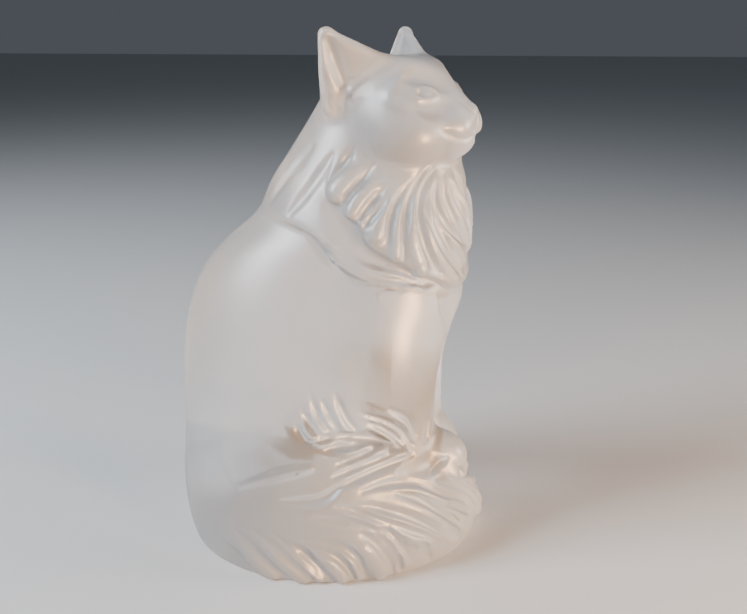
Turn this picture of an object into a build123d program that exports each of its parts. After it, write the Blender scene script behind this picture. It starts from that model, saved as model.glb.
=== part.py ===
from build123d import *

import os
from math import cos, pi, radians, sin

# A seated long-haired cat, cast as one solid piece of satin crystal, in millimetres.
# The cat faces -Y, its right side is towards -X, and it stands on the plane Z = 0.
# Each sculpted part of the casting is its own solid, trimmed so that neighbours meet face to face.
# "Forward" is a distance towards -Y, and side is -1 on the cat's right and 1 on its left.

SIDES = (-1, 1)

# Trunk and the mane round the neck
TRUNK_RINGS = (  # height, forward shift, half depth, half width
    (0.0, -3.6, 22.4, 18.6),
    (10.0, -5.4, 23.0, 20.0),
    (22.0, -6.6, 22.3, 20.0),
    (34.0, -6.2, 22.5, 19.2),
    (46.0, -3.8, 22.4, 17.0),
    (54.0, -0.2, 20.8, 14.6),
    (60.0, 3.4, 17.6, 12.6),
)
MANE_RINGS = (  # height, forward shift, half length, half width, degrees that the front is lower
    (52.8, 4.4, 19.2, 17.0, 24.0),
    (59.2, 5.0, 18.0, 15.4, 20.0),
    (67.0, 7.0, 15.5, 12.8, 15.0),
    (73.0, 8.6, 13.2, 10.8, 13.0),
    (78.0, 9.4, 10.8, 9.4, 10.0),
)

# Head and ears, in a frame of their own: x to the cat's left, y back, z up, from the skull's centre
HEAD_CENTRE = (-1.8, -14.1, 79.2)
HEAD_TURN = 18.0  # degrees towards the cat's right
HEAD_RINGS = (  # forward, height, half width, half height
    (-10.0, 0.0, 3.4, 3.0),
    (-8.0, 0.0, 7.4, 5.8),
    (-4.0, 0.0, 10.4, 8.0),
    (0.5, 0.0, 11.2, 8.6),
    (4.2, -0.7, 9.6, 7.6),
    (7.2, -1.9, 6.6, 5.8),
    (9.4, -2.6, 4.6, 4.2),
    (10.6, -2.8, 1.4, 1.3),
)
EAR_BASE = (7.4, 4.4, 3.6)
EAR_TIP = (13.3, 10.6, 12.6)
EAR_BASE_DIRECTION = (7.0, 10.0, -7.0)
EAR_RINGS = ((-0.36, 1.0), (0.0, 1.0), (0.35, 0.8), (0.7, 0.48), (1.0, 0.14))  # share of height, of size
EAR_HALF_WIDTH = 6.2
EAR_HALF_THICKNESS = 2.4

# Chest ruff, a fluted collar whose flutes are its hanging locks
RUFF_RINGS = (  # height, forward shift, half depth, half width
    (44.5, 14.0, 7.0, 10.0),
    (49.0, 12.4, 10.2, 14.6),
    (54.0, 11.0, 12.0, 16.6),
    (60.0, 10.2, 12.4, 16.4),
    (66.0, 10.2, 11.6, 14.6),
    (72.0, 10.6, 10.4, 11.6),
)
RUFF_FLUTES = 14
RUFF_FLUTE_DEPTH = 0.07  # share of the radius

# Forelegs, paws and haunches
LEG_SPACING = 6.2  # from the middle plane to a foreleg's axis
LEG_RINGS = (  # height, forward shift, half depth, half width
    (12.0, 15.4, 5.4, 5.2),
    (22.0, 14.6, 5.2, 5.2),
    (34.0, 13.6, 6.1, 5.9),
    (44.0, 12.0, 7.4, 6.1),
    (51.0, 9.6, 7.8, 6.1),
)
FOREPAW_FORWARD = {-1: 20.2, 1: 17.8}
FOREPAW_RINGS = (  # height, forward shift, half depth, half width
    (11.6, 0.0, 4.2, 4.0),
    (13.6, 0.2, 5.3, 4.9),
    (16.6, 0.0, 5.2, 4.9),
    (19.6, -0.8, 4.2, 4.3),
    (22.0, -1.8, 2.6, 3.2),
)
HIND_PAW_PLACE = (15.2, 9.6)  # x, forward
HIND_PAW_RINGS = (
    (0.0, 0.0, 8.6, 4.2),
    (2.6, 0.0, 9.2, 4.7),
    (5.2, -0.8, 8.0, 4.3),
    (7.8, -2.2, 5.6, 3.2),
)
TOES = 8  # flutes round a paw, of which the front three or four show
TOE_DEPTH = 0.08
HAUNCH_RINGS = (  # distance from the middle plane, back shift, height, half depth, half height
    (4.0, 7.0, 12.0, 15.4, 19.0),
    (12.0, 7.0, 12.4, 15.4, 19.0),
    (16.6, 7.2, 12.8, 13.4, 16.8),
    (19.8, 7.4, 13.0, 8.8, 11.4),
    (20.8, 7.4, 13.0, 3.8, 5.0),
)
FLANK_FUR_RINGS = (  # forward, height, half width, half height
    (-1.0, 19.0, 1.0, 2.0),
    (2.0, 22.4, 2.6, 4.6),
    (6.0, 25.0, 3.0, 5.0),
    (9.6, 24.6, 2.4, 3.4),
    (12.0, 22.6, 0.8, 1.2),
)
FLANK_FUR_SIDE = 15.4

# Tail, lying round the right side and across the front under the paws
TAIL_STATIONS = (  # degrees round from the back, plan radius, half width, height
    (-30.0, 21.0, 6.4, 14.0),
    (0.0, 21.8, 7.0, 18.5),
    (30.0, 19.0, 7.4, 22.0),
    (60.0, 17.2, 7.6, 24.0),
    (90.0, 16.0, 7.6, 24.0),
    (120.0, 16.0, 7.4, 21.0),
    (145.0, 17.6, 6.8, 17.0),
    (165.0, 19.6, 5.8, 14.0),
    (185.0, 21.8, 4.8, 11.5),
    (203.0, 23.6, 3.4, 8.0),
)
TAIL_MIDDLE = 0.3  # height of a section's centre as a share of its top
ABOVE = 100.0  # half size of the block that keeps what is above the ground


def above_ground(shape):
    return shape & Pos(0, 0, ABOVE) * Box(2 * ABOVE, 2 * ABOVE, 2 * ABOVE)


def trim(shape, *others):
    """The shape less its neighbours, as one solid."""
    for other in others:
        shape = shape - other
    return max(shape.solids(), key=lambda solid: solid.volume)


def level_stack(rings):
    """A smooth solid through level ellipses."""
    return loft([Pos(0, -forward, z) * Ellipse(wide, deep) for z, forward, deep, wide in rings])


def fluted_stack(rings, flutes, depth):
    """A smooth solid through level ellipses whose outline swells into flutes, with a flute at the front."""
    outlines = []
    steps = 2 * flutes
    for z, forward, deep, wide in rings:
        points = []
        for i in range(steps):
            angle = 2 * pi * i / steps
            swell = 1 + depth * cos(flutes * angle)
            points.append((wide * swell * sin(angle), -deep * swell * cos(angle)))
        outlines.append(Pos(0, -forward, z) * make_face(Spline(points, periodic=True)))
    return loft(outlines)


def trunk():
    return level_stack(TRUNK_RINGS)


def mane():
    """The collar of smooth fur whose lower edge slopes down towards the chest."""
    outlines = []
    for z, forward, deep, wide, tilt in MANE_RINGS:
        outlines.append(Pos(0, -forward, z) * Rot(tilt, 0, 0) * Ellipse(wide, deep))
    return loft(outlines)


def in_head_frame(shape):
    return Pos(*HEAD_CENTRE) * Rot(0, 0, -HEAD_TURN) * shape


def forward_stack(rings):
    """A smooth solid through upright ellipses, one behind the other."""
    outlines = []
    for forward, z, wide, high in rings:
        upright = Plane(origin=(0, -forward, z), x_dir=(1, 0, 0), z_dir=(0, -1, 0))
        outlines.append(upright * Ellipse(wide, high))
    return loft(outlines)


def head():
    return in_head_frame(forward_stack(HEAD_RINGS))


def ear(side):
    """A leaf that leans out and back."""
    base = Vector(side * EAR_BASE[0], EAR_BASE[1], EAR_BASE[2])
    tip = Vector(side * EAR_TIP[0], EAR_TIP[1], EAR_TIP[2])
    across = Vector(side * EAR_BASE_DIRECTION[0], EAR_BASE_DIRECTION[1], EAR_BASE_DIRECTION[2])
    axis = tip - base
    outlines = []
    for share, size in EAR_RINGS:
        section = Plane(origin=base + axis * share, x_dir=across, z_dir=axis)
        outlines.append(section * Ellipse(EAR_HALF_WIDTH * size, EAR_HALF_THICKNESS * size))
    return in_head_frame(loft(outlines))


def ruff():
    return fluted_stack(RUFF_RINGS, RUFF_FLUTES, RUFF_FLUTE_DEPTH)


def foreleg(side):
    return Pos(side * LEG_SPACING, 0, 0) * level_stack(LEG_RINGS)


def forepaw(side):
    paw = fluted_stack(FOREPAW_RINGS, TOES, TOE_DEPTH)
    return Pos(side * LEG_SPACING, -FOREPAW_FORWARD[side], 0) * paw


def haunch(side):
    outlines = []
    for x, back, z, deep, high in HAUNCH_RINGS:
        upright = Plane(origin=(side * x, back, z), x_dir=(0, 1, 0), z_dir=(side, 0, 0))
        outlines.append(upright * Ellipse(deep, high))
    return above_ground(loft(outlines))


def hind_paw():
    x, forward = HIND_PAW_PLACE
    return Pos(x, -forward, 0) * fluted_stack(HIND_PAW_RINGS, TOES, TOE_DEPTH)


def flank_fur(side):
    """A curled tuft between the thigh and the foreleg."""
    return Pos(side * FLANK_FUR_SIDE, 0, 0) * forward_stack(FLANK_FUR_RINGS)


def tail():
    centres = []
    rings = []
    for angle, radius, half_width, height in TAIL_STATIONS:
        out = Vector(-sin(radians(angle)), cos(radians(angle)), 0)
        centre = out * radius + Vector(0, 0, height * TAIL_MIDDLE)
        section = Plane(origin=centre, x_dir=out, z_dir=Vector(0, 0, 1).cross(out))
        centres.append(centre)
        rings.append(section * Ellipse(half_width, height * (1 - TAIL_MIDDLE)))
    return above_ground(sweep(rings, path=Spline(centres), multisection=True))


def build():
    """Every named solid. A part gives way to the ones that stand proud of it."""
    brush = tail()
    hind = trim(hind_paw(), brush)
    skull = head()
    ears = {side: trim(ear(side), skull) for side in SIDES}
    collar = trim(ruff(), skull)
    paws = {side: trim(forepaw(side), brush) for side in SIDES}
    legs = {side: trim(foreleg(side), brush, paws[side], collar) for side in SIDES}
    thighs = {side: trim(haunch(side), brush, hind, legs[side]) for side in SIDES}
    tufts = {side: trim(flank_fur(side), brush, thighs[side], legs[side]) for side in SIDES}
    neck = trim(mane(), skull, collar, *ears.values(), *legs.values())
    limbs = [brush, hind, *paws.values(), *legs.values(), *thighs.values(), *tufts.values()]
    return {
        "trunk": trim(trunk(), neck, collar, skull, *limbs),
        "neck_mane": neck,
        "chest_ruff": collar,
        "head": skull,
        "right_ear": ears[-1],
        "left_ear": ears[1],
        "right_foreleg": legs[-1],
        "left_foreleg": legs[1],
        "right_forepaw": paws[-1],
        "left_forepaw": paws[1],
        "right_haunch": thighs[-1],
        "left_haunch": thighs[1],
        "left_hind_paw": hind,
        "right_flank_fur": tufts[-1],
        "left_flank_fur": tufts[1],
        "tail": brush,
    }


os.makedirs("parts", exist_ok=True)
for name, solid in build().items():
    export_step(solid, f"parts/{name}.step")
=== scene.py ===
from math import cos, radians, sin

import bpy
import numpy as np
from mathutils import Matrix, Vector


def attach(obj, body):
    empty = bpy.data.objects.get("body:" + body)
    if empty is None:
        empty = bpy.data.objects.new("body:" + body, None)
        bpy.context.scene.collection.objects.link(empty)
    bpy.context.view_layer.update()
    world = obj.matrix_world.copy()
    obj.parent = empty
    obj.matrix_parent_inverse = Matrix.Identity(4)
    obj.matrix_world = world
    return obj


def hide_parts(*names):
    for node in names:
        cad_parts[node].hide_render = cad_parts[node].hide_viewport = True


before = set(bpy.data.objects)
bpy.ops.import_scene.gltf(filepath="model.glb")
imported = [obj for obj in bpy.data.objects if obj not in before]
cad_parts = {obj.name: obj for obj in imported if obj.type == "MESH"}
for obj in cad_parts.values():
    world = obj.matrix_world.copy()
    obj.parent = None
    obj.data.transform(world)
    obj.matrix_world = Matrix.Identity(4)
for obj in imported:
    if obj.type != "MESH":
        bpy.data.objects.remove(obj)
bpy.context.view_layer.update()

# The cat is sculpted in millimetres: it faces -Y, its right side is towards -X, the ground is Z = 0.
MM = 0.001
STEP = 0.43  # spacing of the sculpting grid
MARGIN = 3.0  # how far past a shape its influence reaches
RIGHT, LEFT = -1, 1
SIDES = (RIGHT, LEFT)

# The sculpted parts of the one casting, each a closed solid that meets its neighbours face to face
PARTS = tuple(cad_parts)
AIR = -1

# The grid that the cat is sculpted in
GRID = ((-28, -32, -4), (26, 33, 98))
BASE_BLEND = 0.8  # rounding of the edge round the flat base
STRIKE_ROUNDS = 60
STRIKE_STRIDE = 0.7  # share of the distance to the surface that a ray walks each round


def part_of(side, name):
    return PARTS.index(("right_" if side == RIGHT else "left_") + name)


TRUNK_PART, MANE_PART, RUFF_PART, HEAD_PART, TAIL_PART = (
    PARTS.index(name) for name in ("trunk", "neck_mane", "chest_ruff", "head", "tail")
)


# ---------------------------------------------------------------- sculpting tools

def smooth_min(a, b, blend):
    if blend <= 0:
        return np.minimum(a, b)
    near = np.maximum(blend - np.abs(a - b), 0) / blend
    return np.minimum(a, b) - near * near * blend / 4


class Clay:
    """A grid of distances to the surface, negative inside, that shapes are added to and cut from."""

    def __init__(self, low, high):
        self.low = np.array(low, float)
        count = np.ceil((np.array(high) - self.low) / STEP).astype(int) + 1
        self.d = np.full(tuple(count), 2 * MARGIN, np.float32)
        self.part = np.full(tuple(count), AIR, np.int8)

    def copy(self):
        twin = object.__new__(Clay)
        twin.low = self.low
        twin.d = self.d.copy()
        twin.part = self.part
        return twin

    def window(self, low, high):
        first = np.floor((np.array(low) - MARGIN - self.low) / STEP).astype(int)
        last = np.ceil((np.array(high) + MARGIN - self.low) / STEP).astype(int) + 1
        first = np.clip(first, 0, self.d.shape)
        last = np.clip(last, 0, self.d.shape)
        where = tuple(slice(a, b) for a, b in zip(first, last))
        axes = [(self.low[i] + STEP * np.arange(first[i], last[i])).astype(np.float32) for i in range(3)]
        return where, np.meshgrid(*axes, indexing="ij")

    def add(self, shape, blend, part=None, whole=True):
        """Blends a shape in. Its part takes what is nearer to it and, if whole, all that lies in it."""
        low, high, distance = shape
        where, xyz = self.window(low, high)
        gap = distance(*xyz)
        if part is not None:
            self.part[where][(gap < self.d[where]) | (whole & (gap < 0))] = part
        self.d[where] = smooth_min(self.d[where], gap, blend)

    def claim(self, shape, part):
        """Gives a part all that lies in the shape, without changing the surface."""
        low, high, distance = shape
        where, xyz = self.window(low, high)
        self.part[where][distance(*xyz) < 0] = part

    def cut(self, shape, blend):
        low, high, distance = shape
        where, xyz = self.window(low, high)
        self.d[where] = -smooth_min(-self.d[where], distance(*xyz), blend)

    def sample(self, points):
        """Distances at points, by trilinear interpolation."""
        place = np.clip((points - self.low) / STEP, 0, np.array(self.d.shape) - 1.001)
        cell = place.astype(int)
        part = place - cell
        total = np.zeros(len(points))
        for corner in np.ndindex(2, 2, 2):
            weight = np.prod(np.where(corner, part, 1 - part), axis=1)
            at = cell + corner
            total += weight * self.d[at[:, 0], at[:, 1], at[:, 2]]
        return total

    def slope(self, points):
        """Unit outward normals at points."""
        reach = 0.6 * STEP
        parts = [self.sample(points + reach * e) - self.sample(points - reach * e) for e in np.eye(3)]
        normal = np.stack(parts, 1)
        return normal / (np.linalg.norm(normal, axis=1, keepdims=True) + 1e-9)

    def strike(self, start, aim, sink=0.0):
        """The surface points that rays from start towards aim meet, and then pushed in by sink."""
        start = np.array(start, float)
        way = np.array(aim, float) - start
        way /= np.linalg.norm(way, axis=1, keepdims=True)
        point = start.copy()
        for _ in range(STRIKE_ROUNDS):
            point += way * (STRIKE_STRIDE * self.sample(point))[:, None]
        return point - sink * self.slope(point)


def spline(points, count):
    """Count points on a smooth curve through the given ones (Catmull-Rom)."""
    points = np.array(points, float)
    ends = np.vstack([2 * points[0] - points[1], points, 2 * points[-1] - points[-2]])
    t = np.linspace(0, len(points) - 1, count)
    i = np.minimum(t.astype(int), len(points) - 2)
    f = (t - i)[:, None]
    a, b, c, d = ends[i], ends[i + 1], ends[i + 2], ends[i + 3]
    return 0.5 * (
        2 * b + (c - a) * f + (2 * a - 5 * b + 4 * c - d) * f**2 + (3 * b - a - 3 * c + d) * f**3
    )


def profile(rows, at):
    """Smoothly interpolates a table of places, in its first column, and values."""
    fine = spline(rows, 24 * len(rows))
    return [np.interp(at, fine[:, 0], fine[:, k]).astype(np.float32) for k in range(1, fine.shape[1])]


def rounded(p, radii):
    """Distance to an ellipse or ellipsoid, near enough, from coordinates in its own axes."""
    near = np.sqrt(sum((c / r) ** 2 for c, r in zip(p, radii)))
    steep = np.sqrt(sum((c / (r * r)) ** 2 for c, r in zip(p, radii))) + 1e-6
    return near * (near - 1) / steep


def turned(degrees, axis):
    return np.array(Matrix.Rotation(radians(degrees), 3, axis))


def ellipsoid(centre, radii, rotation=np.eye(3)):
    centre = np.array(centre, float)
    reach = max(radii)

    def distance(x, y, z):
        x, y, z = x - centre[0], y - centre[1], z - centre[2]
        own = [rotation[0, k] * x + rotation[1, k] * y + rotation[2, k] * z for k in range(3)]
        return rounded(own, radii)

    return centre - reach, centre + reach, distance


def stack(rows):
    """Level ellipses; rows are height, front y, back y, half width."""
    rows = np.array(rows, float)
    wide = rows[:, 3].max()

    def distance(x, y, z):
        front, back, half = profile(rows, z[0, 0])
        d = rounded((x, y - (front + back) / 2), (half, (back - front) / 2))
        beyond = np.maximum(rows[0, 0] - z, z - rows[-1, 0])
        return np.where(beyond > 0, np.sqrt(np.maximum(d, 0) ** 2 + beyond**2), d)

    low = (-wide, rows[:, 1].min(), rows[0, 0])
    high = (wide, rows[:, 2].max(), rows[-1, 0])
    return low, high, distance


def strand(points, radii):
    """A round strand of changing radius along a line of points."""
    points = np.array(points, float)
    radii = np.broadcast_to(np.array(radii, float), (len(points),))
    thick = radii.max()

    def distance(x, y, z):
        best = np.full(x.shape, 4 * MARGIN, np.float32)
        for a, b, ra, rb in zip(points[:-1], points[1:], radii[:-1], radii[1:]):
            along = b - a
            length2 = along @ along + 1e-9
            px, py, pz = x - a[0], y - a[1], z - a[2]
            t = np.clip((px * along[0] + py * along[1] + pz * along[2]) / length2, 0, 1)
            gap = np.sqrt((px - t * along[0]) ** 2 + (py - t * along[1]) ** 2 + (pz - t * along[2]) ** 2)
            np.minimum(best, gap - (ra + (rb - ra) * t), out=best)
        return best

    return points.min(0) - thick, points.max(0) + thick, distance


def shifted(shape, shift):
    """The shape, moved along x."""
    low, high, distance = shape
    move = np.array((shift, 0, 0))
    return np.array(low) + move, np.array(high) + move, lambda x, y, z: distance(x - shift, y, z)


def sheet(a, b, c, thickness):
    """A rounded triangular plate with corners a, b and c."""
    a, b, c = (np.array(p, float) for p in (a, b, c))
    normal = np.cross(b - a, c - a)
    normal /= np.linalg.norm(normal)

    def distance(x, y, z):
        p = np.stack([x, y, z], -1)
        outside = np.zeros(x.shape, bool)
        edge = np.full(x.shape, 1e3, np.float32)
        for s, e in ((a, b), (b, c), (c, a)):
            along = e - s
            rel = p - s
            t = np.clip(rel @ along / (along @ along), 0, 1)
            edge = np.minimum(edge, np.linalg.norm(rel - t[..., None] * along, axis=-1))
            outside |= rel @ np.cross(along, normal) > 0
        return np.where(outside, edge, np.abs((p - a) @ normal)) - thickness

    corners = np.array([a, b, c])
    return corners.min(0) - thickness, corners.max(0) + thickness, distance


# ---------------------------------------------------------------- the cat's main forms

TRUNK = (  # height, front y, back y, half width
    (-3.0, -17.0, 26.0, 18.6),
    (4.0, -17.0, 27.8, 20.0),
    (12.0, -16.4, 28.6, 20.6),
    (22.0, -15.6, 28.9, 20.6),
    (32.0, -16.8, 28.8, 19.8),
    (40.0, -20.4, 28.0, 18.4),
    (46.0, -22.6, 26.5, 17.0),
    (51.0, -22.6, 24.1, 15.6),
    (56.0, -21.4, 19.6, 14.2),
    (60.0, -21.0, 14.8, 13.0),
    (66.0, -20.0, 9.6, 11.4),
)
MANE = (  # height, front y, back y, half width: the smooth fur from the nape to the shoulders
    (46.0, -21.8, 12.6, 15.6),
    (52.0, -22.2, 13.6, 16.0),
    (57.0, -22.4, 14.0, 15.8),
    (61.0, -22.2, 13.2, 15.0),
    (66.0, -21.8, 11.4, 13.2),
    (71.0, -21.4, 8.2, 11.4),
    (76.0, -20.6, 4.9, 10.0),
    (81.0, -18.0, 1.8, 8.6),
)
MANE_EDGE = (  # degrees round the neck from the back, height of the mane's lower edge
    (0.0, 61.2),
    (30.0, 61.2),
    (58.0, 59.2),
    (70.0, 55.8),
    (82.0, 53.2),
    (95.0, 51.5),
    (110.0, 50.2),
    (140.0, 48.6),
    (180.0, 47.2),
)
NECK_AXIS = (0.0, -8.0)
BODY_AXIS = (0.0, 0.0)
FORELEG = (  # height, front y, back y, half width
    (11.0, -19.8, -9.6, 5.2),
    (20.0, -19.0, -8.6, 5.4),
    (30.0, -18.8, -6.4, 6.0),
    (40.0, -19.4, -3.6, 7.2),
    (50.0, -19.0, -1.0, 7.4),
)
LEG_X = 6.8
THIGH_CENTRE = (10.5, 8.5, 15.0)
THIGH_RADII = (9.6, 16.5, 20.0)
THIGH_LEAN = 8.0
SIDE_CENTRE = (11.5, -6.0, 36.0)  # the swell of the ribs between thigh and foreleg
SIDE_RADII = (5.2, 9.0, 12.0)
LIMB_BLEND = 5.0
TAIL_BLEND = 4.5
MANE_BLEND = 1.0
MANE_EDGE_BLEND = 1.4
MANE_EDGE_STEEPNESS = 0.85
FOREPAWS = ((RIGHT, -25.3, 17.8), (LEFT, -22.8, 16.2))  # side, front y, height of the middle
TAIL = (  # degrees round from the back, middle radius, half width, top
    (-48.0, 20.4, 4.0, 9.0),
    (-25.0, 21.0, 6.4, 15.0),
    (0.0, 21.8, 7.2, 19.5),
    (30.0, 19.2, 7.6, 22.5),
    (60.0, 17.4, 7.8, 24.0),
    (90.0, 16.0, 7.8, 24.0),
    (120.0, 16.2, 7.4, 22.5),
    (145.0, 17.8, 7.0, 20.0),
    (165.0, 19.8, 6.2, 16.4),
    (185.0, 21.8, 5.2, 11.8),
    (200.0, 23.4, 3.6, 8.5),
    (208.0, 24.0, 2.2, 6.4),
    (212.0, 24.2, 1.2, 5.0),
    (214.0, 24.2, 0.3, 3.2),
)
TAIL_MIDDLE = 0.3  # height of a section's middle as a share of its top

HEAD_CENTRE = np.array((-1.8, -14.1, 79.2))
HEAD_TURN = 18.0
HEAD_AXES = turned(-HEAD_TURN, "Z")
HEAD_BALLS = (  # middle as (x, forward, up) from the skull's centre, radii, degrees tipped, blend
    ((0, -1.4, 0), (10.6, 9.2, 8.6), 0, 4.0),  # skull
    ((5.6, 0.8, -3.6), (5.6, 6.8, 5.2), 0, 3.0),  # cheeks
    ((0, 5.4, -2.4), (5.4, 5.2, 4.2), 0, 3.0),  # muzzle
    ((2.1, 7.9, -2.4), (2.7, 3.1, 2.7), 0, 1.6),  # whisker pads
    ((0, 6.6, 0.3), (2.0, 4.2, 1.8), 22, 2.4),  # bridge of the nose
    ((0, 9.9, 0.0), (1.3, 1.1, 0.9), 0, 0.9),  # tip of the nose
    ((0, 6.8, -5.3), (3.2, 3.4, 2.4), 0, 1.8),  # chin
)
# The corners of an ear, as (x, forward, up) from the skull's centre
EAR_TIP = {RIGHT: (12.8, -9.4, 11.6), LEFT: (12.8, -8.0, 11.6)}
EAR_CROWN = (3.8, 1.0, 5.6)
EAR_REAR = (9.8, -10.4, 1.0)
EAR_HALF_THICKNESS = 1.1
EAR_BLEND = 3.2
EAR_RIM_RADII = (1.0, 1.5, 1.6)
EAR_RIM_BLEND = 1.2
EAR_FOOT = 0.76  # where the hollow aims, as a share of the way from crown to rear
EAR_HOLLOW_SPAN = (0.06, 0.74)  # start and end as shares of the way from the tip to the foot
EAR_HOLLOW_POINTS = 8
EAR_HOLLOW_RADII = ((0, 0.4, 0.75), (0.5, 1.5, 0.7))  # shares of that way, radii there
EAR_HOLLOW_DEPTHS = ((0, 0.3, 0.75), (0.5, 0.9, 0.3))
EAR_HOLLOW_BLEND = 0.9
EYE_SOCKET = (1.5, 1.5, 0.85)
EYE_SOCKET_BLEND = 0.6
EYEBALL = (1.35, 1.35, 1.1)
EYEBALL_SINK = 1.2
EYEBALL_BLEND = 0.3

# Lines of the face, as (x towards the outside, forward, up) from the skull's centre
EYE = (6.4, 4.9, 3.0)
UPPER_LID = ((8.8, 3.0, 2.7), (7.6, 4.0, 3.7), (6.2, 5.1, 4.0), (5.2, 5.9, 3.4), (4.8, 6.3, 2.7))
LOWER_LID = ((8.8, 3.0, 2.7), (7.5, 4.3, 2.0), (6.2, 5.4, 1.9), (4.8, 6.3, 2.5))
EYE_HOLLOW = ((8.0, 1.8, 5.6), (5.8, 4.0, 5.6), (4.0, 5.4, 5.0), (2.8, 6.6, 3.8))
UNDER_EYE = ((8.2, 4.6, 0.6), (6.0, 6.4, 0.4), (4.0, 7.8, 0.8))
TEMPLE_EDGE = ((7.6, 1.3, 5.8), (9.2, 0.7, 4.0), (10.2, 0.3, 2.4), (10.2, 1.6, 1.4), (9.9, 3.0, 0.7))
MOUTH = ((0.0, 10.6, -3.4), (1.6, 10.4, -4.2), (3.4, 9.6, -4.2), (5.0, 8.2, -3.4), (5.8, 7.2, -2.6))
NOSE_SIDE = ((2.0, 8.4, 1.8), (1.6, 9.4, 1.0), (1.3, 10.0, 0.2), (0.6, 10.4, -0.6))
PHILTRUM = ((0.0, 10.4, -0.6), (0.0, 10.7, -2.0), (0.0, 10.6, -3.4))
FACE_HOLLOWS = (  # line, half width, depth, blend
    (EYE_HOLLOW, 1.8, 0.8, 1.4),
    (UNDER_EYE, 1.6, 0.25, 1.2),
)
FACE_LINES = (  # the same, and a line of negative depth stands out
    (UPPER_LID, 0.42, -0.36, 0.3),
    (LOWER_LID, 0.40, -0.32, 0.3),
    (TEMPLE_EDGE, 0.9, -0.16, 1.0),
    (MOUTH, 0.55, 0.42, 0.5),
    (NOSE_SIDE, 0.36, 0.26, 0.4),
)
PHILTRUM_LINE = (PHILTRUM, 0.34, 0.24, 0.4)
LINE_POINTS = 14

PAW_X = 5.2
PAW_DROOP = 25.0  # degrees that a paw points down
PAW_RADII = (4.1, 5.0, 4.2)
PAW_BACK = 5.2  # from the front of the paw to its middle
PAW_LIFT = 0.2
PAW_BLEND = 2.6
TOES_BACK = 2.6
TOES_DROP = 1.8
TOE_SPREAD = (-3.0, -1.0, 1.0, 3.0)
TOE_DROOP = 35.0
TOE_RADII = (1.4, 3.0, 1.9)
TOE_ARC = 0.16  # how far the outer toes lie back, per square of the spread
TOE_BLEND = 0.5
TOE_CREASE = ((0.8, 1.4, 3.2), (1.0, -2.4, -1.0))  # top and tip: share of the spread, back, up
TOE_CREASE_RADII = (0.2, 0.5)
HIND_PAW_CENTRE = (15.6, -8.6, 2.8)
HIND_PAW_RADII = (4.5, 8.6, 5.0)
HIND_PAW_BLEND = 2.0
HIND_TOES = (15.8, -15.2, 1.6, 0.95)  # x, front y, height, size


def head_point(x, forward, z):
    """A point in the body's frame from x to the cat's left, forward and up from the skull's centre."""
    return HEAD_CENTRE + HEAD_AXES @ np.array((x, -forward, z))


def head_ball(centre, radii, rotation=np.eye(3)):
    return ellipsoid(head_point(*centre), radii, HEAD_AXES @ rotation)


def tail_tube():
    def distance(x, y, z):
        angle = (np.degrees(np.arctan2(-x, y)) + 90) % 360 - 90
        radius, half, top = profile(TAIL, angle)
        middle = TAIL_MIDDLE * top
        d = rounded((np.hypot(x, y) - radius, z - middle), (half, top - middle))
        past = np.maximum(TAIL[0][0] - angle, angle - TAIL[-1][0])
        return np.where(past > 0, np.sqrt(np.maximum(d, 0) ** 2 + (np.radians(past) * radius) ** 2), d)

    return (-27, -29, -4), (20, 31, 26), distance


def mane():
    """The stack of the mane, cut off along its sloping lower edge."""
    low, high, body = stack(MANE)

    def distance(x, y, z):
        around = np.degrees(np.arctan2(np.abs(x), y - NECK_AXIS[1]))
        edge, = profile(MANE_EDGE, around)
        return -smooth_min(-body(x, y, z), MANE_EDGE_STEEPNESS * (z - edge), MANE_EDGE_BLEND)

    return low, high, distance


def main_forms():
    clay = Clay(*GRID)
    clay.add(stack(TRUNK), 0, TRUNK_PART)
    for side in SIDES:
        x, y, z = THIGH_CENTRE
        thigh = ellipsoid((side * x, y, z), THIGH_RADII, turned(THIGH_LEAN, "X"))
        clay.add(thigh, LIMB_BLEND, part_of(side, "haunch"), whole=False)
        clay.add(shifted(stack(FORELEG), side * LEG_X), LIMB_BLEND, part_of(side, "foreleg"))
    clay.add(tail_tube(), TAIL_BLEND, TAIL_PART)
    for side in SIDES:
        x, y, z = SIDE_CENTRE
        clay.add(ellipsoid((side * x, y, z), SIDE_RADII), LIMB_BLEND)
    clay.add(mane(), MANE_BLEND, MANE_PART)
    return clay


def head_forms(clay):
    for (x, forward, up), radii, tip, blend in HEAD_BALLS:
        for side in SIDES if x else (RIGHT,):
            ball = head_ball((side * x, forward, up), radii, turned(tip, "X"))
            clay.add(ball, blend, HEAD_PART)
    for side in SIDES:
        ear(clay, side)


def ear(clay, side):
    """A plate that leans out and back, hollowed towards the front with a rolled outer rim."""
    tip, crown, rear = (
        head_point(side * x, forward, up) for x, forward, up in (EAR_TIP[side], EAR_CROWN, EAR_REAR)
    )
    part = part_of(side, "ear")
    clay.add(sheet(tip, crown, rear, EAR_HALF_THICKNESS), EAR_BLEND, part, whole=False)
    front = np.cross(crown - tip, rear - tip) * side
    front /= np.linalg.norm(front)
    rim = strand([tip, tip + 0.5 * (rear - tip), rear], EAR_RIM_RADII)
    clay.add(rim, EAR_RIM_BLEND, part, whole=False)
    foot = (1 - EAR_FOOT) * crown + EAR_FOOT * rear
    share = np.linspace(*EAR_HOLLOW_SPAN, EAR_HOLLOW_POINTS)
    radii = np.interp(share, *EAR_HOLLOW_RADII)
    depth = np.interp(share, *EAR_HOLLOW_DEPTHS)
    line = tip + share[:, None] * (foot - tip) + front * (EAR_HALF_THICKNESS + radii - depth)[:, None]
    clay.cut(strand(line, radii), EAR_HOLLOW_BLEND)


def on_face(clay, points, side, count=LINE_POINTS):
    """Surface points of the head in front of points drawn as (x, forward, z) on its right side."""
    points = spline(points, count)
    aims = np.array([head_point(-side * x, forward, z) for x, forward, z in points])
    centre = np.broadcast_to(HEAD_CENTRE, aims.shape)
    return clay.strike(centre + 3.0 * (aims - centre), centre)


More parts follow.
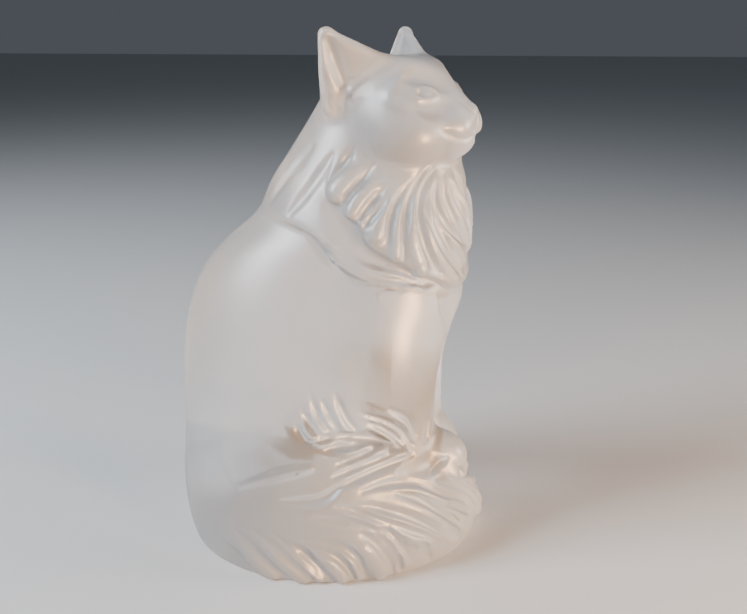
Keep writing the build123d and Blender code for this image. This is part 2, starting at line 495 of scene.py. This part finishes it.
def face_line(clay, side, points, width, depth, blend):
    """An engraved line on the head, or a raised one where depth is negative."""
    base = clay.copy()
    centre = on_face(base, points, side)
    radii = fade(len(centre), width)
    out = base.slope(centre)
    if depth > 0:
        lift = (radii - depth * radii / width)[:, None]
        clay.cut(strand(centre + lift * out, radii), blend)
    else:
        sink = (radii + depth * radii / width)[:, None]
        clay.add(strand(centre - sink * out, radii), blend)


def eye(clay, side):
    """A socket with the eyeball sunk into it."""
    centre = on_face(clay, (EYE, EYE), side, 1)[0]
    clay.cut(ellipsoid(centre, EYE_SOCKET, HEAD_AXES), EYE_SOCKET_BLEND)
    inward = (HEAD_CENTRE - centre) / np.linalg.norm(HEAD_CENTRE - centre)
    clay.add(ellipsoid(centre + EYEBALL_SINK * inward, EYEBALL, HEAD_AXES), EYEBALL_BLEND)


def face(clay):
    for side in SIDES:
        for line in FACE_HOLLOWS:
            face_line(clay, side, *line)
        eye(clay, side)
        for line in FACE_LINES:
            face_line(clay, side, *line)
    face_line(clay, RIGHT, *PHILTRUM_LINE)


def toes(clay, x, front, z, size, part):
    """Four toes in an arc, with a crease between each two."""
    radii = [size * radius for radius in TOE_RADII]
    for offset in TOE_SPREAD:
        middle = (x + offset * size, front + TOE_ARC * offset**2, z)
        clay.add(ellipsoid(middle, radii, turned(TOE_DROOP, "X")), TOE_BLEND, part)
    for first, second in zip(TOE_SPREAD[:-1], TOE_SPREAD[1:]):
        between = (first + second) / 2
        back = TOE_ARC * between**2
        (top_x, top_y, top_z), (tip_x, tip_y, tip_z) = TOE_CREASE
        top = (x + top_x * between * size, front + back + top_y * size, z + top_z * size)
        tip = (x + tip_x * between * size, front + back + tip_y * size, z + tip_z * size)
        thin, thick = TOE_CREASE_RADII
        clay.cut(strand((top, tip), (thin * size, thick * size)), TOE_BLEND)


def paws(clay):
    for side, front, height in FOREPAWS:
        x = side * PAW_X
        part = part_of(side, "forepaw")
        paw = ellipsoid((x, front + PAW_BACK, height + PAW_LIFT), PAW_RADII, turned(PAW_DROOP, "X"))
        clay.add(paw, PAW_BLEND, part)
        toes(clay, x, front + TOES_BACK, height - TOES_DROP, 1.0, part)
    part = part_of(LEFT, "hind_paw")
    clay.add(ellipsoid(HIND_PAW_CENTRE, HIND_PAW_RADII), HIND_PAW_BLEND, part)
    toes(clay, *HIND_TOES, part)


# ---------------------------------------------------------------- fur
# A line of fur is a list of (degrees round an upright axis from the back, height) points on the cat's
# right side. The lines of the neck and flanks also run, mirrored, down the left side.
# Most of these points, and of RUFF_EDGE, began as places picked by eye on the photograph, which a
# separate script turned into degrees and heights. They were then rounded, and some were moved.
OUTSIDE = 45.0  # a distance from either axis that clears the cat
CREASE_WIDTH = 0.7  # half the width
CREASE_DEPTH = 0.7
CREASE_BLEND = 0.5
LOCK_RELIEF = 0.3  # how high a lock stands, as a share of its width
LOCK_FULLNESS = 0.6  # a lock's radius as a share of its width
LOCK_RADII = (0.4, 2.8)
LOCK_HEIGHT = 1.0
LOCK_BLEND = 0.5


def wrap(clay, line, axis, side, sink=0.0, count=LINE_POINTS):
    """Lays a drawn line on the clay."""
    angle, height = spline(line, count).T
    out = np.stack([side * np.sin(np.radians(angle)), np.cos(np.radians(angle)), 0 * angle], 1)
    centre = np.stack([axis[0] + 0 * angle, axis[1] + 0 * angle, height], 1)
    return clay.strike(centre + OUTSIDE * out, centre, sink)


def swell(count):
    """Shares of a lock's width: slim at its root, fullest two thirds along and slim at its end."""
    t = np.linspace(0, 1, count)
    return np.interp(t, (0, 0.35, 0.7, 0.92, 1), (0.6, 0.85, 1.0, 0.7, 0.5))


def fade(count, width):
    """Radii that are thin at both ends."""
    t = np.linspace(0, 1, count)
    return width * np.interp(t, (0, 0.25, 0.75, 1), (0.25, 1.0, 1.0, 0.3))


def groove(clay, base, line, axis, side, width, depth, blend):
    """An engraved line."""
    radii = fade(LINE_POINTS, width)
    points = wrap(base, line, axis, side)
    lift = (radii - depth * radii / width)[:, None]
    clay.cut(strand(points + lift * base.slope(points), radii), blend)


def locks(clay, base, lines, axis, side, relief=LOCK_RELIEF):
    """Plump locks that rise between neighbouring lines."""
    t = np.linspace(0, 1, LINE_POINTS)
    rise = np.interp(t, (0, 0.15, 0.5, 1), (-0.5, 0.0, 1.0, 0.9))
    for first, second in zip(lines[:-1], lines[1:]):
        a = wrap(base, first, axis, side)
        b = wrap(base, second, axis, side)
        middle = (a + b) / 2
        middle = middle - base.slope(middle) * base.sample(middle)[:, None]
        gap = np.linalg.norm(a - b, axis=1)
        radii = np.clip(LOCK_FULLNESS * gap, *LOCK_RADII) * swell(LINE_POINTS)
        height = np.minimum(relief * gap, LOCK_HEIGHT) * rise
        sink = (radii - height)[:, None]
        clay.add(strand(middle - sink * base.slope(middle), radii), LOCK_BLEND)


def creases(clay, lines, axis, side, width=CREASE_WIDTH, depth=CREASE_DEPTH):
    """Engraved lines over what has been raised so far."""
    raised = clay.copy()
    for line in lines:
        groove(clay, raised, line, axis, side, width, depth, CREASE_BLEND)


RUFF_EDGE = (  # degrees round the neck from the back, height of the ruff's lower edge
    (58.0, 72.0),
    (62.0, 67.4),
    (72.0, 65.8),
    (77.0, 63.2),
    (86.0, 61.8),
    (90.0, 59.4),
    (95.0, 57.8),
    (104.0, 56.4),
    (122.0, 53.8),
    (135.0, 52.2),
    (149.0, 50.2),
    (165.0, 49.6),
    (180.0, 50.4),
)
RUFF_REGION = ((-20, -30, 48), (20, 20, 78))
RUFF_TOP = 72.0
RUFF_TOP_FADE = 5.0
RUFF_BACK_FADE = 6.0  # degrees
RUFF_RISE = 1.1
RUFF_STEP = 0.9  # width of the step along its lower edge
RUFF_CREASES = (  # from the back round to the front
    ((76, 73.4), (68, 70.3), (62, 68.0)),
    ((93, 70.9), (85, 68.3), (79, 66.3), (77, 64.8)),
    ((102, 67.6), (93, 65.2), (86, 62.6)),
    ((104, 66.4), (96, 63.7), (90, 61.6)),
    ((125, 69.1), (114, 66.7), (108, 64.6), (105, 62.2), (104, 58.6)),
    ((135, 70.8), (126, 68.1), (119, 65.7), (115, 63.0), (113, 59.6), (113, 55.4)),
    ((142, 70.1), (132, 67.9), (127, 65.6), (124, 62.8), (125, 59.6), (130, 56.2), (138, 53.2)),
    ((134, 66.4), (130, 63.8), (133, 61.1), (137, 58.6), (144, 55.9), (156, 52.8), (165, 50.1)),
    ((136, 64.8), (137, 61.6), (142, 58.8), (151, 55.6), (163, 51.8)),
    ((140, 67.6), (138, 64.4), (143, 61.4), (152, 59.0), (163, 56.8)),
    ((148, 69.0), (147, 65.6), (151, 62.2), (158, 59.5), (172, 54.6)),
    ((153, 67.6), (161, 62.8), (171, 59.5), (179, 56.8)),
    ((160, 69.4), (168, 65.8), (177, 62.2)),
)
MANE_CREASES = (
    ((50, 60.0), (58, 57.8), (66, 55.6), (75, 53.9), (85, 52.6), (98, 51.7), (115, 51.0)),
    ((59, 58.6), (69, 56.8), (77, 55.1), (86, 53.8), (97, 52.8), (112, 51.8)),
    ((66, 58.6), (77, 56.6), (85, 55.2), (93, 53.9), (103, 53.0), (117, 52.2), (130, 51.3)),
)
MANE_FOLD = ((76, 61.7), (79, 59.5), (84, 57.6))
RUFF_HOLLOW = ((66, 64.4), (74, 61.4), (82, 58.8), (92, 56.2), (104, 54.6), (118, 52.8))
NAPE_CREASES = (
    ((38, 73.0), (30, 69.0), (24, 64.0)),
    ((58, 72.0), (50, 67.0), (42, 62.6)),
)
TAIL_LOCKS_UPPER = (
    ((96, 24.2), (106, 24.4), (116, 24.4)),
    ((102, 21.6), (110, 22.4), (120, 23.2)),
    ((100, 19.8), (110, 20.8), (120, 21.5), (130, 22.0)),
    ((98, 17.4), (109, 18.9), (118, 19.8), (130, 20.6), (141, 20.8)),
)
TAIL_LOCK_FAINT = (
    ((60, 17.8), (70, 20.0), (78, 21.4), (88, 22.2)),
    ((60, 16.2), (70, 18.2), (80, 19.6), (90, 20.4)),
)
TAIL_FOLD = ((78, 15.6), (90, 15.8), (97, 16.6), (102, 18.0))
TAIL_LOCKS_MIDDLE = (
    ((112, 17.0), (122, 17.5), (133, 17.2), (141, 16.2), (148, 14.2), (156, 11.9), (166, 9.2)),
    ((128, 15.8), (137, 14.3), (146, 11.2), (154, 8.0), (162, 4.4)),
    ((109, 15.0), (116, 14.4), (124, 13.2), (132, 11.6), (140, 9.2), (148, 6.0), (154, 3.0)),
    ((101, 15.0), (108, 14.1), (115, 12.8), (122, 11.4), (130, 9.6), (140, 7.0), (150, 3.4)),
    ((90, 12.9), (100, 12.5), (108, 12.0), (116, 10.6), (124, 9.2), (131, 7.4)),
)
TAIL_LOCKS_LOWER = (
    ((120, 10.4), (124, 8.9), (128, 6.6), (132, 3.6)),
    ((117, 9.4), (122, 7.2), (126, 4.4), (129, 1.2)),
    ((111, 10.0), (117, 7.8), (121, 5.5), (124, 2.9), (126, 0.6)),
    ((87, 8.9), (96, 8.3), (101, 7.8), (106, 6.7), (110, 4.8), (113, 1.2)),
    ((86, 7.9), (95, 6.9), (100, 6.0), (104, 4.2), (108, 1.0)),
    ((82, 8.0), (88, 6.0), (93, 3.9), (98, 1.2)),
)
TAIL_LOCKS_SIDE = (
    ((82, 8.0), (88, 6.0), (93, 3.9), (98, 1.2)),
    ((74, 9.8), (81, 7.2), (87, 4.8), (93, 2.4), (96, 1.0)),
    ((66, 9.4), (75, 7.1), (81, 5.2), (86, 3.2), (91, 1.0)),
    ((58, 8.4), (66, 6.0), (71, 4.3), (77, 2.2), (81, 0.6)),
    ((52, 4.8), (59, 2.8), (65, 1.0)),
)
TAIL_LOCKS_TIP = (
    ((150, 15.6), (160, 13.4), (171, 9.4), (179, 4.0)),
    ((160, 14.2), (171, 11.2), (180, 7.4), (187, 2.6)),
    ((170, 12.4), (180, 9.4), (188, 5.8), (194, 2.4)),
    ((180, 10.2), (188, 7.8), (195, 4.8), (200, 2.4)),
)
TAIL_CREASES_FRONT = (
    ((150, 10.9), (155, 10.6), (161, 8.6), (170, 5.6)),
    ((149, 16.9), (153, 17.8), (157, 18.8)),
    ((137, 6.2), (141, 3.7), (144, 1.0)),
)
TAIL_HOLLOW = ((132, 18.6), (143, 18.4), (153, 18.6))
TAIL_TOP_EDGE = ((86, 25.6), (98, 26.0), (109, 25.8), (120, 24.8), (130, 23.6))
FLANK_LOCKS_BACK = (
    ((82, 28.4), (84, 27.0), (88, 25.4)),
    ((84, 31.4), (88, 28.8), (93, 26.8), (100, 25.8)),
    ((88, 34.0), (91, 30.8), (94, 29.0), (99, 27.1), (107, 25.8)),
    ((94, 32.6), (98, 29.8), (103, 26.9), (110, 25.6)),
    ((101, 33.6), (104, 30.8), (108, 28.2), (114, 26.0)),
)
FLANK_LOCKS_FRONT = (
    ((115, 26.4), (122, 25.2), (130, 23.4)),
    ((117, 28.2), (125, 26.8), (133, 24.6), (138, 22.2)),
    ((114, 30.0), (125, 28.3), (133, 26.6), (138, 24.8), (141, 22.6)),
    ((128, 30.4), (137, 28.3), (141, 26.6), (144, 24.0)),
)
LEG_CREASE = ((154, 27.0), (152, 24.2), (151, 22.0))
TAIL_LOCKS = (TAIL_LOCKS_UPPER, TAIL_LOCKS_MIDDLE, TAIL_LOCKS_LOWER, TAIL_LOCKS_SIDE, TAIL_LOCKS_TIP)
TAIL_CREASES = (TAIL_LOCKS_UPPER, TAIL_LOCKS_MIDDLE, TAIL_LOCKS_LOWER, TAIL_LOCKS_TIP,
                TAIL_CREASES_FRONT, (TAIL_FOLD, TAIL_TOP_EDGE))
RUFF_HOLLOW_CUT = (3.2, 0.8, 1.2)  # half width, depth, blend
FOLD_CUT = (1.2, 0.4, 0.8)
TAIL_HOLLOW_CUT = (2.4, 0.6, 1.0)
MANE_RELIEF = 0.4
FLANK_FRONT_RELIEF = 0.24
FAINT_RELIEF = 0.16


def raise_ruff(clay):
    """Lifts the ruff above the mane, with a step along its lower edge."""
    where, (x, y, z) = clay.window(*RUFF_REGION)
    around = np.degrees(np.arctan2(np.abs(x), y - NECK_AXIS[1]))
    edge, = profile(RUFF_EDGE, around)
    share = np.clip((z - edge) / RUFF_STEP + 0.5, 0, 1)
    share *= np.clip((RUFF_TOP - z) / RUFF_TOP_FADE, 0, 1)
    share *= np.clip((around - RUFF_EDGE[0][0]) / RUFF_BACK_FADE, 0, 1)
    clay.d[where] -= RUFF_RISE * share * share * (3 - 2 * share)


def fur(clay):
    smooth = clay.copy()
    for side in SIDES:
        groove(clay, smooth, RUFF_HOLLOW, NECK_AXIS, side, *RUFF_HOLLOW_CUT)
        for line in (MANE_FOLD, *NAPE_CREASES):
            groove(clay, smooth, line, NECK_AXIS, side, *FOLD_CUT)
    raise_ruff(clay)
    groove(clay, clay.copy(), TAIL_HOLLOW, BODY_AXIS, RIGHT, *TAIL_HOLLOW_CUT)
    base = clay.copy()
    for side in SIDES:
        locks(clay, base, RUFF_CREASES, NECK_AXIS, side)
        locks(clay, base, MANE_CREASES, NECK_AXIS, side, relief=MANE_RELIEF)
        locks(clay, base, FLANK_LOCKS_BACK, BODY_AXIS, side)
        locks(clay, base, FLANK_LOCKS_FRONT, BODY_AXIS, side, relief=FLANK_FRONT_RELIEF)
    for lines in TAIL_LOCKS:
        locks(clay, base, lines, BODY_AXIS, RIGHT)
    locks(clay, base, TAIL_LOCK_FAINT, BODY_AXIS, RIGHT, relief=FAINT_RELIEF)
    for side in SIDES:
        creases(clay, RUFF_CREASES, NECK_AXIS, side)
        creases(clay, MANE_CREASES, NECK_AXIS, side)
        creases(clay, FLANK_LOCKS_BACK + FLANK_LOCKS_FRONT, BODY_AXIS, side, width=0.55, depth=0.5)
        creases(clay, (LEG_CREASE,), BODY_AXIS, side, depth=0.5)
    for lines in TAIL_CREASES:
        creases(clay, lines, BODY_AXIS, RIGHT, width=0.8, depth=0.75)
    creases(clay, TAIL_LOCKS_SIDE, BODY_AXIS, RIGHT, width=0.8, depth=0.4)


TUFT_CENTRE = (15.5, -3.5, 27.0)  # the tuft of fur on a flank, as a region of the casting
TUFT_RADII = (5.5, 9.5, 5.5)
WALL_ROUNDS = 10  # rounds of smoothing of the inner walls
SKIN_ROUNDS = 2  # rounds of moving the skin's points onto the surface


def divide(clay):
    """The last borders between parts: the ruff within the mane, and the tufts on the flanks."""
    where, (x, y, z) = clay.window(*RUFF_REGION)
    around = np.degrees(np.arctan2(np.abs(x), y - NECK_AXIS[1]))
    edge, = profile(RUFF_EDGE, around)
    part = clay.part[where]
    part[(part == MANE_PART) & (around > RUFF_EDGE[0][0]) & (z > edge)] = RUFF_PART
    for side in SIDES:
        x, y, z = TUFT_CENTRE
        clay.claim(ellipsoid((side * x, y, z), TUFT_RADII), part_of(side, "flank_fur"))


def facets(label):
    """A quad across each grid edge whose ends differ, as the four cells round it, and its two owners."""
    quads, owners = [], []
    for axis in range(3):
        near = tuple(slice(None, -1) if k == axis else slice(None) for k in range(3))
        far = tuple(slice(1, None) if k == axis else slice(None) for k in range(3))
        at = np.argwhere(label[near] != label[far])
        step = np.eye(3, dtype=int)
        u, v = step[(axis + 1) % 3], step[(axis + 2) % 3]
        cells = np.stack([at - u - v, at - v, at, at - u], 1)
        quads.append(np.ravel_multi_index(np.moveaxis(cells, -1, 0), label.shape))
        ends = at + step[axis]
        owners.append(np.stack([label[tuple(at.T)], label[tuple(ends.T)]], 1))
    return np.concatenate(quads), np.concatenate(owners)


def crossings(clay, cells):
    """The middle of where the surface crosses each cell's edges, and which cells it crosses."""
    total = np.zeros(cells.shape)
    count = np.zeros(len(cells))
    step = np.eye(3, dtype=int)
    for axis in range(3):
        for a, b in np.ndindex(2, 2):
            start = cells + a * step[(axis + 1) % 3] + b * step[(axis + 2) % 3]
            end = start + step[axis]
            d0, d1 = clay.d[tuple(start.T)], clay.d[tuple(end.T)]
            crossed = (d0 < 0) != (d1 < 0)
            share = np.where(crossed, d0 / np.where(crossed, d0 - d1, 1), 0)
            total += crossed[:, None] * (start + share[:, None] * step[axis])
            count += crossed
    skin = count > 0
    return np.where(skin[:, None], total / np.maximum(count, 1)[:, None], cells + 0.5), skin


def relax(points, ring, free):
    """Smooths the free points of the inner walls towards their neighbours."""
    start = np.concatenate([ring.ravel(), np.roll(ring, -1, 1).ravel()])
    end = np.concatenate([np.roll(ring, -1, 1).ravel(), ring.ravel()])
    count = np.maximum(np.bincount(start, minlength=len(points)), 1)
    for _ in range(WALL_ROUNDS):
        mean = [np.bincount(start, points[end, k], len(points)) / count for k in range(3)]
        points = np.where(free[:, None], np.stack(mean, 1), points)
    return points


def cast(clay, skin_material, joint_material):
    """The parts as closed pieces: one seamless skin, and shared inner walls that let light through."""
    label = np.where(clay.d < 0, clay.part, AIR)
    quads, owners = facets(label)
    cells, quads = np.unique(quads, return_inverse=True)
    quads = quads.reshape(-1, 4)
    points, skin = crossings(clay, np.stack(np.unravel_index(cells, label.shape), 1))
    inner = (owners != AIR).all(1)
    points = relax(points, quads[inner], ~skin) * STEP + clay.low
    for _ in range(SKIN_ROUNDS):
        points[skin] -= clay.slope(points[skin]) * clay.sample(points[skin])[:, None]
    normals = np.where(skin[:, None], clay.slope(points), 0)
    for index, name in enumerate(PARTS):
        own, other = owners[:, 0] == index, owners[:, 1] == index
        faces = np.concatenate([quads[own], quads[other][:, ::-1]])
        walls = np.concatenate([inner[own], inner[other]])
        used, faces = np.unique(faces, return_inverse=True)
        mesh = bpy.data.meshes.new(name + "_crystal")
        mesh.from_pydata((points[used] * MM).tolist(), [], faces.reshape(-1, 4).tolist())
        mesh.materials.append(skin_material)
        mesh.materials.append(joint_material)
        mesh.polygons.foreach_set("material_index", walls.astype(np.int32))
        mesh.polygons.foreach_set("use_smooth", [True] * len(mesh.polygons))
        mesh.update()
        mesh.normals_split_custom_set_from_vertices(normals[used])
        piece = bpy.data.objects.new(name + "_crystal", mesh)
        bpy.context.scene.collection.objects.link(piece)
        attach(piece, "root")
        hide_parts(name)


# ---------------------------------------------------------------- camera, floor and light

VIEW_AZIMUTH = -78.0
VIEW_DISTANCE = 0.1575  # level distance from the cat's axis
VIEW_HEIGHT = 0.092
VIEW_PITCH = 17.28  # degrees down
VIEW_YAW = 2.45  # degrees to the right of the cat's axis
LENS = 43.3735
SENSOR = 36.0
CLIP_START = 0.005
COOL = (0.86, 0.93, 1.0)
PINK = (1.0, 0.82, 0.70)
WARM = (1.0, 0.56, 0.26)
LIGHTS = (  # name, place, size, power, colour
    ("key", (-0.20, 0.34, 0.32), 0.25, 4.8, COOL),
    ("lamp", (0.0, -0.34, 0.08), 0.15, 1.5, PINK),
    ("near_lamp", (-0.13, -0.17, 0.018), 0.06, 1.7, WARM),
)
LIGHT_AIM = (0, 0, 0.05)
STUDIO_COLOUR = (0.62, 0.70, 0.80, 1)
STUDIO_STRENGTH = 0.12
FLOOR_HALF_SIZE = 3.0


def make_camera():
    data = bpy.data.cameras.new("camera")
    data.sensor_width = SENSOR
    data.lens = LENS
    data.clip_start = CLIP_START
    camera = bpy.data.objects.new("camera", data)
    a = radians(VIEW_AZIMUTH)
    camera.location = (sin(a) * VIEW_DISTANCE, -cos(a) * VIEW_DISTANCE, VIEW_HEIGHT)
    camera.rotation_euler = (radians(90 - VIEW_PITCH), 0, radians(VIEW_AZIMUTH - VIEW_YAW))
    bpy.context.scene.collection.objects.link(camera)
    bpy.context.scene.camera = camera


def area_light(name, place, size, power, colour):
    data = bpy.data.lights.new(name, "AREA")
    data.shape = "DISK"
    data.size = size
    data.energy = power
    data.color = colour
    light = bpy.data.objects.new(name, data)
    light.location = place
    towards = Vector(LIGHT_AIM) - Vector(place)
    light.rotation_euler = towards.to_track_quat("-Z", "Y").to_euler()
    light.visible_camera = False
    bpy.context.scene.collection.objects.link(light)


def make_lights():
    for light in LIGHTS:
        area_light(*light)
    world = bpy.data.worlds.new("studio")
    bpy.context.scene.world = world
    world.use_nodes = True
    background = world.node_tree.nodes["Background"]
    background.inputs["Color"].default_value = STUDIO_COLOUR
    background.inputs["Strength"].default_value = STUDIO_STRENGTH


def make_floor(material):
    mesh = bpy.data.meshes.new("floor")
    half = FLOOR_HALF_SIZE
    corners = ((-half, -half, 0), (half, -half, 0), (half, half, 0), (-half, half, 0))
    mesh.from_pydata(corners, [], [(0, 1, 2, 3)])
    floor = bpy.data.objects.new("floor", mesh)
    floor.data.materials.append(material)
    bpy.context.scene.collection.objects.link(floor)


def floor_material():
    material = bpy.data.materials.new("floor")
    material.use_nodes = True
    shader = material.node_tree.nodes["Principled BSDF"]
    shader.inputs["Base Color"].default_value = (0.55, 0.56, 0.57, 1)
    shader.inputs["Roughness"].default_value = 0.7
    return material


def noise(tree, scale, detail):
    """The output of a noise that is fixed to the object."""
    place = tree.nodes.new("ShaderNodeTexCoord")
    texture = tree.nodes.new("ShaderNodeTexNoise")
    texture.inputs["Scale"].default_value = scale
    texture.inputs["Detail"].default_value = detail
    tree.links.new(place.outputs["Object"], texture.inputs["Vector"])
    return texture.outputs["Fac"]


def crystal_material():
    """Satin-etched crystal: light passes through blurred, and the skin scatters a milky part of it."""
    material = bpy.data.materials.new("satin_crystal")
    material.use_nodes = True
    tree = material.node_tree
    shader = tree.nodes["Principled BSDF"]
    shader.inputs["Base Color"].default_value = (0.93, 0.95, 0.97, 1)
    shader.inputs["IOR"].default_value = 1.54
    shader.inputs["Transmission Weight"].default_value = 0.85
    satin = tree.nodes.new("ShaderNodeMapRange")
    satin.inputs["To Min"].default_value = 0.28
    satin.inputs["To Max"].default_value = 0.42
    tree.links.new(noise(tree, scale=55, detail=3), satin.inputs["Value"])
    tree.links.new(satin.outputs["Result"], shader.inputs["Roughness"])
    etch = tree.nodes.new("ShaderNodeBump")
    etch.inputs["Strength"].default_value = 0.12
    etch.inputs["Distance"].default_value = 0.0001
    tree.links.new(noise(tree, scale=3200, detail=2), etch.inputs["Height"])
    tree.links.new(etch.outputs["Normal"], shader.inputs["Normal"])
    return material


def joint_material():
    """Where two parts of the casting meet there is no surface, so light goes straight on."""
    material = bpy.data.materials.new("within_crystal")
    material.use_nodes = True
    tree = material.node_tree
    tree.nodes.remove(tree.nodes["Principled BSDF"])
    clear = tree.nodes.new("ShaderNodeBsdfTransparent")
    tree.links.new(clear.outputs["BSDF"], tree.nodes["Material Output"].inputs["Surface"])
    return material


clay = main_forms()
head_forms(clay)
face(clay)
paws(clay)
fur(clay)
height = clay.window(*GRID)[1][2]
clay.d = -smooth_min(-clay.d, height, BASE_BLEND)
divide(clay)
cast(clay, crystal_material(), joint_material())

make_floor(floor_material())
make_lights()
make_camera()
